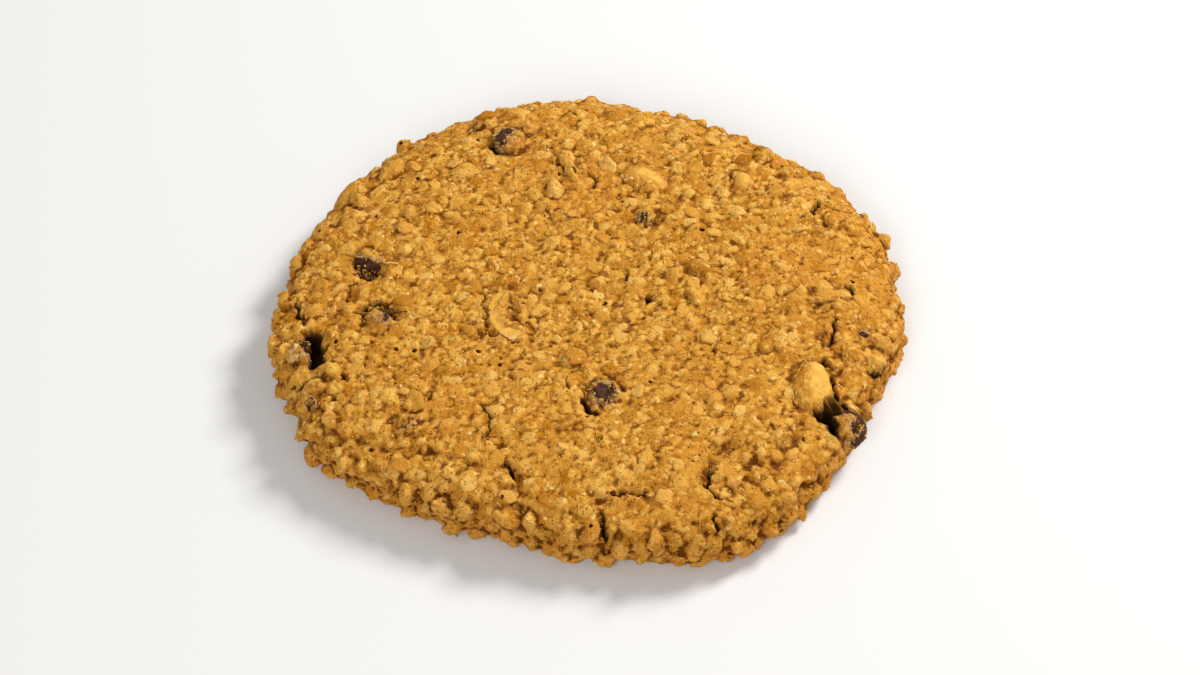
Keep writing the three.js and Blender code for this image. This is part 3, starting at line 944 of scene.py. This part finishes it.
def makeDough(name, tones, form, pale=0.0):
    material, graph, surface = newMaterial(name)
    place = graph.place()
    tone = graph.attribute("tone")
    hollow = graph.attribute("hollow")
    rim = graph.attribute("rim")

    def spotted(colour, layer):
        share = graph.spots(place, **layer["spots"])
        if "hollow" in layer:
            share = share * graph.step(hollow, *layer["hollow"])
        return graph.blend(share * layer.get("share", 1.0), colour, tones[layer["tone"]])

    grain = graph.noise(place, **form["grain"])
    ownShare, grainShare, patchShare, less = form["shade"]
    patches = graph.noise(place, **form["patch"])
    shade = tone * ownShare + grain * grainShare + patches * patchShare - less + pale
    colour = graph.blend(graph.step(shade, *form["middle"]), tones["dark"], tones["middle"])
    colour = graph.blend(graph.step(shade, *form["light"]), colour, tones["light"])
    for layer in doughSpots:
        colour = spotted(colour, layer)
    high = graph.node("ShaderNodeSeparateXYZ", None, {0: place}, 2)
    # browner on the rim and toward the floor; toward the floor this is also painted shade
    baked = rim * form["bakedRim"] + graph.step(high, *form["bakedUp"])
    colour = graph.blend(baked * graph.spots(place, **form["baked"]), colour, tones["browned_crust_and_shade"])
    under = graph.step(high, *form["sole"])
    colour = graph.blend(under * graph.spots(place, **form["scorched"]), colour, tones["sole"])
    pressed = graph.step(graph.cells(place, form["pressedSize"], "SMOOTH_F1", Smoothness=0.2), 0.5, 0.3)
    colour = graph.blend(under * pressed * graph.spots(place, **form["pressed"]), colour, tones["middle"])
    smeared = graph.blend(graph.spots(place, **form["crumbled"]), tones["smear"], tones["ash"])
    colour = graph.blend(graph.attribute("smear") * graph.spots(place, **form["smear"]), colour, smeared)
    colour = spotted(colour, creamFlecksAndHighlights)
    # pores, painted dark as shade and pressed in by the bump
    cells = graph.cells(place, form["pitSize"], output=None)
    draw = graph.node("ShaderNodeSeparateColor", None, {0: Wire(graph, cells.outputs["Color"])})
    pit = graph.step(Wire(graph, cells.outputs["Distance"]), *form["pit"])
    pit = pit * graph.step(draw, *form["pitDraw"])
    # thin crack lines in the hollows, painted dark as shade and pressed in by the bump
    crack = graph.cracks(place, *crackSettings) * graph.step(hollow, 0.1, -0.06)
    # Painted shade in the pores, hollows, holes, cracks and crack lines, and painted light on the knobs
    for share, over in (
        # painted shade in the pores
        (pit * 0.8, "painted_shade"),
        # painted shade in the hollows
        (graph.step(hollow, 0.0, -0.24) * 0.92, "painted_shade"),
        # painted light on the knobs
        (graph.step(hollow, 0.06, 0.3) * 0.3, "light"),
        # painted shade in the round holes
        (graph.holes(place, *holeSettings), "painted_hole_shade"),
        # painted shade far down in cracks and on the walls of holes
        (graph.attribute("crack") * 0.95, "painted_hole_shade"),
        # painted shade in the thin crack lines
        (crack * 0.55, "painted_shade"),
    ):
        colour = graph.blend(share, colour, tones[over])
    sand = graph.cells(place, form["sandSize"])
    height = grain * 0.8 + graph.noise(place, 1.1) * 0.9 - pit * 0.8 - sand * 0.3
    height = height * (1.05 + rim) - crack * 0.8
    finishLook(graph, surface, colour, 0.62 + graph.noise(place, 2.5) * 0.25 - tone * 0.1, height, form)
    return material


crustMaterial = makeDough("crust", doughTones, doughLook)
oatMaterial = makeDough("oat", doughTones, doughLook, 0.06)


# Crust: the lumps melted into the base as one closed skin

clusterLayer = {"flatness": (0.65, 0.9), "spacing": 4.6, "clearance": 0.6, "topShare": 0.25, "least": 2.2,
                "most": 3.8, "lift": -0.5, "rimLift": 0.34, "lean": 0.15, "rimLean": 0.1, "seed": 13}

lumpLayers = {
    "plates": {"flatness": (0.3, 0.45), "spacing": 3.4, "clearance": 0.5, "patches": 0.3, "rimShare": 0.5,
               "least": 1.8, "most": 3.0, "lift": -0.28, "rimLift": -0.04, "lean": 0.1, "seed": 11},
    "lumps": {"flatness": (0.75, 1.0), "spacing": 2.1, "clearance": 0.25, "patches": 0.3,
              "least": 0.85, "most": 1.7, "lift": -0.55, "rimLift": 0.2, "lean": 0.25, "seed": 12},
    "grains": {"flatness": (0.75, 1.0), "spacing": 1.25, "clearance": 0.05, "patches": 0.35,
               "least": 0.45, "most": 0.85, "lift": -0.28, "rimLift": 0.12, "lean": 0.4, "seed": 14},
}

crustSettings = {
    "voxel": 0.34,
    "bedVoxel": 0.5,
    "bedSmoothing": 3,
    "closing": 0.15,
    "smoothing": 1,
    "blur": 5,
    "triangles": 340000,
    "fineReach": 0.5,  # mm beside cracks and bare patches where the mesh is twice as fine
    "leastIsland": 50000,  # vertices
    "footRelief": [(2.5, 0.25), (5.5, 0.35)],  # width and height of the pits in the sole
    "foot": (0.4 * mm, 1.6 * mm),  # where the relief above it fades in
    "roughness": [(1.5, 0.3), (0.8, 0.22)],  # width and height of the fine relief
    "holeDepth": 0.8,
    "wideBlur": 30,
    "hollowShares": (1.4, 0.25),  # of the fine and of the wide hollows
}


def settleTree(settings):
    # flattens the foot on the floor, drops loose scraps and sealed bubbles, measures the hollows
    graph, wires = newTree("settle", [])
    place = graph.node("GeometryNodeInputPosition")
    relief = sum(graph.spots(place, width, 0.4, 0.7) * (height * mm)
                 for width, height in settings["footRelief"])
    parts = graph.node("ShaderNodeSeparateXYZ", None, {0: place}, None)
    x, y, z = (Wire(graph, parts.outputs[axis]) for axis in "XYZ")
    moved = graph.node("ShaderNodeCombineXYZ", None, {0: x, 1: y, 2: graph.maths("MAXIMUM", z, relief)})
    normal = graph.node("GeometryNodeInputNormal")
    above = graph.step(z, *settings["foot"])
    rough = above * sum((graph.noise(place, width, 1.0) - 0.5) * (height * mm)
                        for width, height in settings["roughness"])
    dent = above * graph.holes(place, *holeSettings) * (settings["holeDepth"] * mm)
    settled = graph.node("GeometryNodeSetPosition", None, {
        "Geometry": wires["Geometry"], "Position": moved, "Offset": graph.scaled(normal, rough - dent)})
    island = graph.node("GeometryNodeInputMeshIsland")
    size = graph.node("GeometryNodeAccumulateField", {"data_type": "FLOAT", "domain": "POINT"},
                      {"Value": 1.0, "Group ID": island}, "Total")
    settled = graph.node("GeometryNodeDeleteGeometry", {"domain": "POINT"}, {
        "Geometry": settled, "Selection": graph.maths("LESS_THAN", size, settings["leastIsland"])})

    def hollow(blur):
        blurred = graph.node("GeometryNodeBlurAttribute", {"data_type": "FLOAT_VECTOR"},
                             {"Value": place, "Iterations": blur})
        return graph.vector("DOT_PRODUCT", graph.vector("SUBTRACT", place, blurred), normal, 1) / mm

    near, wide = settings["hollowShares"]
    hollows = hollow(settings["blur"]) * near + hollow(settings["wideBlur"]) * wide
    return closeTree(graph, graph.store(settled, "hollow", hollows))


def toneTree():
    graph, wires = newTree("carryTone", [("Source", "Object"), ("Material", "Material")])
    source = graph.node("GeometryNodeObjectInfo", None, {"Object": wires["Source"]}, "Geometry")
    carried = wires["Geometry"]
    for name in ("tone", "smear"):
        value = graph.node("GeometryNodeSampleNearestSurface", {"data_type": "FLOAT"},
                           {"Mesh": source, "Value": graph.stored(name)})
        carried = graph.store(carried, name, value)
    return closeTree(graph, graph.node("GeometryNodeSetMaterial", inputs={0: carried, 2: wires["Material"]}))


carryTone = toneTree()


def makeBed(settings):
    # the base with large knobs melted into it
    shapes = makePebbles("clusterShape", 3, clusterLayer["flatness"], pebbleSettings)
    clusters = scatterOn(ground, "clusters", shapes, clusterLayer)
    source = joined("bedSource", [ground, clusters])
    bed = newPiece("bed", source.data.copy())
    addRemesh(bed, settings["bedVoxel"])
    addModifier(bed, "SMOOTH", iterations=settings["bedSmoothing"])
    addTree(bed, carryTone, {"Source": source})
    bakeModifiers(bed)
    surveyMesh(bed.data, doughForm)
    discard(clusters, source, ground)
    return bed


def refineNear(mesh, reach):
    # halves the triangles beside cracks and along the edges of bare patches
    places = placesOf(mesh)
    near = creviceFacts(places)[1] < reach
    near |= (np.abs(bareDistance(places, allBare)) < reach) & (places[:, 2] > crackForm["lowest"])
    shell = bmesh.new()
    shell.from_mesh(mesh)
    edges = [edge for edge in shell.edges if near[edge.verts[0].index] and near[edge.verts[1].index]]
    bmesh.ops.subdivide_edges(shell, edges=edges, cuts=1)
    bmesh.ops.triangulate(shell, faces=[face for face in shell.faces if len(face.verts) > 3])
    shell.to_mesh(mesh)
    shell.free()


def cutCracks(mesh, form, spare=0.0):
    # lowers what bridges a crack to the depth drawn for it
    places = placesOf(mesh)
    depth = creviceFacts(places)[0]
    inside = np.flatnonzero(depth > crackForm["cutFrom"])
    if len(inside):
        below = depthUnder(places[inside], form)[0]
        places[inside, 2] -= np.clip(depth[inside] - spare - below, 0, None)
        places[:, 2] = np.minimum(places[:, 2], holeFacts(places)[0] + spare)
        setPoints(mesh, places * mm)


def solidForm(name):
    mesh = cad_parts[name].data
    spots = flattened(placesOf(mesh), inclusions[name]) * mm
    faces = [tuple(face.vertices) for face in mesh.polygons]
    return BVHTree.FromPolygons([Vector(spot) for spot in spots], faces)


pressing = {
    "from": 2,  # mm above the floor
    "reach": 5,  # mm
    "edge": (-0.1, 0.5, 0.55),  # mm off a bare patch's edge: where it eases, is cut off, and would have ended
    "under": 0.35,  # mm below the face of the chip or nut
    "ease": 2.4,
}


def pressBare(mesh, settings):
    # lowers what lies over a bare chip or nut to just under its face
    places = placesOf(mesh)
    start, stop, end = settings["edge"]
    for name, inclusion in inclusions.items():
        form = solidForm(name)
        bare = bareDistance(places, inclusion["bare"])
        limit = settings["ease"] * smoothStep(bare, start, end) - settings["under"]
        for index in np.flatnonzero((bare < stop) & (places[:, 2] > settings["from"])):
            spot, normal = form.find_nearest(Vector(places[index] * mm), settings["reach"] * mm)[:2]
            if spot is None:
                continue
            over = (Vector(places[index]) - spot / mm).dot(normal) - limit[index]
            if over > 0:
                places[index] -= np.array(normal) * over
    setPoints(mesh, places * mm)


def makeCrust(settings):
    bed = makeBed(settings)
    layers = []
    for name, layer in lumpLayers.items():
        shapes = makePebbles(name + "Shape", 2 if layer["most"] < 1 else 3, layer["flatness"], pebbleSettings)
        layers.append(scatterOn(bed, name, shapes, layer))
    report("lumps", [len(layer.data.polygons) for layer in layers], "faces")
    source = joined("lumpSource", [bed] + layers)
    piece = newPiece("crust", source.data.copy())
    # swollen, melted and drawn in again, which closes the narrow gaps
    addRemesh(piece, settings["voxel"], False)
    addModifier(piece, "DISPLACE", strength=settings["closing"] * mm, mid_level=0)
    addRemesh(piece, settings["voxel"])
    addModifier(piece, "SMOOTH", iterations=settings["smoothing"])
    addModifier(piece, "DISPLACE", strength=-settings["closing"] * mm, mid_level=0)
    addTree(piece, settleTree(settings))
    bakeModifiers(piece)
    full = triangleCount(piece)
    report("melted", full)
    addModifier(piece, "DECIMATE", ratio=settings["triangles"] / full, use_collapse_triangulate=True)
    addTree(piece, carryTone, {"Source": source, "Material": crustMaterial})
    bakeModifiers(piece)
    refineNear(piece.data, settings["fineReach"])
    cutCracks(piece.data, doughForm)
    pressBare(piece.data, pressing)
    surveyMesh(piece.data, doughForm, 0.0)
    keepInside(piece.data)
    discard(*layers, source, bed)
    return piece


def halfOf(piece, name, seam, side):
    # the faces on one side of the seam, closed by a wall inside the dough
    shell = bmesh.new()
    shell.from_mesh(piece.data)
    away = [face for face in shell.faces if (face.calc_center_median().y - seam) * side < 0]
    bmesh.ops.delete(shell, geom=away, context="FACES")
    edges = [edge for edge in shell.edges if edge.is_boundary]
    middle = sum((edge.verts[0].co for edge in edges), Vector()) / len(edges)
    middle = shell.verts.new(middle)
    for edge in edges:
        loop = edge.link_loops[0]
        shell.faces.new((loop.link_loop_next.vert, loop.vert, middle))
        edge.smooth = False
    mesh = bpy.data.meshes.new(name)
    shell.to_mesh(mesh)
    shell.free()
    mesh.materials.append(crustMaterial)
    return newPiece(name, mesh)


def splitCrust(piece):
    # in two halves, so that each may be as fine as a piece is allowed to be
    spots = valuesOf(piece.data.polygons, "center", 3)
    seam = float(np.median(spots[:, 1]))
    halves = [halfOf(piece, "crustFront", seam, -1), halfOf(piece, "crustBack", seam, 1)]
    discard(piece)
    for half in halves:
        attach(half, "root")
        report(half.name, triangleCount(half), "triangles")
    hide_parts("cookie_dough")


crust = makeCrust(crustSettings)
report("crust", triangleCount(crust), "triangles")


# Granules and crumbs that lie on the crust

looseSettings = {
    "granules": {"subdivisions": 2, "flatness": (0.6, 0.85), "spacing": 4.0, "clearance": 0.6, "patches": 0.8,
                 "rimShare": 0.3, "least": 0.7, "most": 1.3, "lift": -0.45, "rimLift": 0.05, "lean": 0.3,
                 "rimLean": 0.1, "seed": 41},
    "crumbs": {"subdivisions": 1, "flatness": (0.55, 0.85), "spacing": 1.7, "clearance": 0.05, "patches": 0.6,
               "least": 0.25, "most": 0.55, "lift": -0.15, "rimLift": 0.2, "lean": 0.8, "seed": 42},
}


def finishLoose(piece):
    setAttribute(piece.data, "hollow", 0)
    keepInside(piece.data)
    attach(piece, "root")
    report(piece.name, triangleCount(piece), "triangles")


for name, settings in looseSettings.items():
    shapes = makePebbles(name + "Shape", settings["subdivisions"], settings["flatness"], pebbleSettings)
    finishLoose(scatterOn(crust, name, shapes, settings, oatMaterial))


# Oat flakes: ovals with a groove, bent a little, half sunk in the dough

flakeSettings = {
    "kinds": 6,
    "width": (0.6, 0.8),
    "thickness": (0.15, 0.22),
    "bluntness": 0.6,
    "bend": 0.16,
    "crossBend": (-0.6, 0.9),
    "settle": 0.3,
    "groove": 0.09,
    "grooveWidth": 0.1,
    "waviness": 0.07,
    "seed": 7,
}

flakeScatter = {"spacing": 8.0, "clearance": 1.6, "rimShare": 0.1, "least": 1.7, "most": 2.7, "lift": -0.08,
                "rimLift": -0.04, "lean": 0.15, "rimLean": 0.05, "seed": 51}


def makeFlakes(settings):
    source = np.random.default_rng(settings["seed"])
    collection = bpy.data.collections.new("flakeShape")
    for kind in range(settings["kinds"]):
        mesh = unitShape(f"flake{kind}", 3, collection)
        spots = valuesOf(mesh.vertices, "co", 3)
        angle = np.arctan2(spots[:, 1], spots[:, 0])
        wave = np.sin(3 * angle + source.uniform(0, 6)) + np.sin(5 * angle + kind)
        wave = 1 + settings["waviness"] * wave
        x = spots[:, 0] * wave
        y = spots[:, 1] * wave * source.uniform(*settings["width"])
        blunt = np.sign(spots[:, 2]) * np.abs(spots[:, 2]) ** settings["bluntness"]
        z = blunt * source.uniform(*settings["thickness"])
        groove = settings["groove"] * np.exp(-(y / settings["grooveWidth"]) ** 2)
        z -= groove * (spots[:, 2] > 0) * (1 - x ** 2)
        across = source.uniform(*settings["crossBend"])
        z -= settings["bend"] * (x ** 2 + across * y ** 2 - settings["settle"])
        setPoints(mesh, np.column_stack([x, y, z]))
    return collection


flakeMaterial = makeDough("flake", doughTones, doughLook, 0.04)
finishLoose(scatterOn(crust, "flakes", makeFlakes(flakeSettings), flakeScatter, flakeMaterial))


splitCrust(crust)


# Chips and nuts, finer than their solids

chipLook = {
    "chocolate": (0.026, 0.007, 0.003, 1),
    "bloom": (0.100, 0.042, 0.022, 1),
    "smear": (0.190, 0.105, 0.048, 1),
    "dough": (0.560, 0.310, 0.085, 1),
    "shadow": (0.006, 0.002, 0.001, 1),
    "shine": 0.06,
    "bump": 0.6,
    "relief": 0.22,
}

nutLook = {
    "flesh": (0.66, 0.330, 0.042, 1),
    "pale": (0.76, 0.430, 0.072, 1),
    "toasted": (0.54, 0.235, 0.028, 1),
    "cream": (0.80, 0.500, 0.190, 1),
    "shadow": (0.040, 0.009, 0.002, 1),
    "shine": 0.15,
    "bump": 0.7,
    "relief": 0.25,
}


def makeChocolate(look):
    material, graph, surface = newMaterial("chocolate")
    place = graph.place()
    edge = graph.attribute("edge")
    dust = graph.noise(place, 1.1, 4.0, 0.65)
    colour = graph.blend(graph.step(dust, 0.35, 0.7, 0.1, 0.9), look["chocolate"], look["bloom"])
    smear = graph.step(edge * 0.55 + graph.noise(place, 0.75, 4.0, 0.65) * 0.9, 0.71, 0.87)
    film = graph.blend(graph.spots(place, 0.9, 0.4, 0.62, 3.0), look["smear"], look["dough"])
    colour = graph.blend(smear, colour, film)
    colour = graph.blend(graph.attribute("crack") * 0.9, colour, look["shadow"])
    height = graph.noise(place, 0.5, 4.0, 0.6) + smear * 0.5
    finishLook(graph, surface, colour, 0.5 + smear * 0.3 + dust * 0.2, height, look)
    return material


def makeNut(look):
    material, graph, surface = newMaterial("nut")
    place = graph.place()
    edge = graph.attribute("edge")
    cloud = graph.noise(place, 3.5, 3.0)
    grain = graph.noise(place, 0.6, 4.0, 0.6)
    colour = graph.blend(graph.step(cloud * 0.6 + grain * 0.4, 0.38, 0.62), look["flesh"], look["pale"])
    colour = graph.blend(graph.attribute("paleness"), colour, look["cream"])
    toast = graph.step(graph.noise(place, 1.6, 4.0, 0.6) + edge * 0.3, 0.45, 0.75, 0.0, 0.85)
    colour = graph.blend(toast, colour, look["toasted"])
    colour = graph.blend(graph.attribute("crack") * 0.9, colour, look["shadow"])
    finishLook(graph, surface, colour, 0.5 + cloud * 0.25, grain + cloud * 1.5, look)
    return material


fineSettings = {
    "chocolate": {"voxel": 0.22, "smoothing": 6, "spare": 0.15},  # spare: mm of a crack that it leaves uncut
    "peanut": {"voxel": 0.25, "smoothing": 10, "spare": -0.4},
}

coverSettings = {
    "sink": 0.7,  # mm that what is under the dough is drawn in
    "sinkEdge": (1.0, 2.6),
    "ring": 0.6,  # how far the dough's film reaches in from the edge of a bare patch
    "ringEnd": 0.25,
    "paleReach": (0.2, 1.8),
}


def finishInclusion(name, settings, material, slot):
    fine = fineSettings[slot]
    piece = refined(name + "Fine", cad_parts[name], fine["voxel"], fine["smoothing"])
    mesh = piece.data
    own = {**coverSettings, **settings}
    places = flattened(placesOf(mesh), own)
    bare = bareDistance(places, own["bare"])
    setAttribute(mesh, "edge", smoothStep(bare, -own["ring"], own["ringEnd"]))
    hidden = own["sink"] * smoothStep(bare, *own["sinkEdge"])
    places -= valuesOf(mesh.vertex_normals, "vector", 3) * hidden[:, None]
    setPoints(mesh, places * mm)
    beside = 1 - smoothStep(creviceFacts(places)[1], *own["paleReach"])
    setAttribute(mesh, "paleness", beside * own.get("pale", 0))
    cutCracks(mesh, doughForm, fine["spare"])
    places = placesOf(mesh)
    # painted shade far down in cracks and on the walls of holes, kept as the crack attribute
    setAttribute(mesh, "crack", crackShade(places, depthUnder(places, doughForm)[0]))
    keepInside(mesh)
    mesh.materials.clear()
    mesh.materials.append(material)
    mesh.shade_smooth()
    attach(piece, "root")
    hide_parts(name)
    return piece


gritSettings = {"spacing": 0.6, "clearance": 0.05, "patches": 0.5, "least": 0.22, "most": 0.6, "lift": 0.0,
                "lean": 0.8, "seed": 61, "flatness": (0.45, 0.8), "sway": (0.45, 1.9), "band": (-0.7, 0.8),
                "from": 3, "smear": 0.5}


def makeGrit(pieces, settings):
    # bits of dough that stick round the edge of each bare patch
    source = joined("gritSource", pieces)
    places = placesOf(source.data)
    bare = bareDistance(places, allBare)
    sway, length = settings["sway"]
    inner, outer = settings["band"]
    band = (bare + sway * swells(places, length) > inner) & (bare < outer) & (places[:, 2] > settings["from"])
    setAttribute(source.data, "room", np.where(band, 2 * settings["clearance"], noRoom) * mm)
    setAttribute(source.data, "rim", 0)
    shapes = makePebbles("gritShape", 1, settings["flatness"], pebbleSettings)
    grit = scatterOn(source, "grit", shapes, settings, oatMaterial)
    setAttribute(grit.data, "smear", settings["smear"])
    discard(source)
    finishLoose(grit)


chocolate = makeChocolate(chipLook)
nutFlesh = makeNut(nutLook)
fineChips = [finishInclusion(name, settings, chocolate, "chocolate") for name, settings in chips.items()]
for name, settings in nuts.items():
    finishInclusion(name, settings, nutFlesh, "peanut")
makeGrit(fineChips, gritSettings)
report("chips and nuts")

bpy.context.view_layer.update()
report("done")
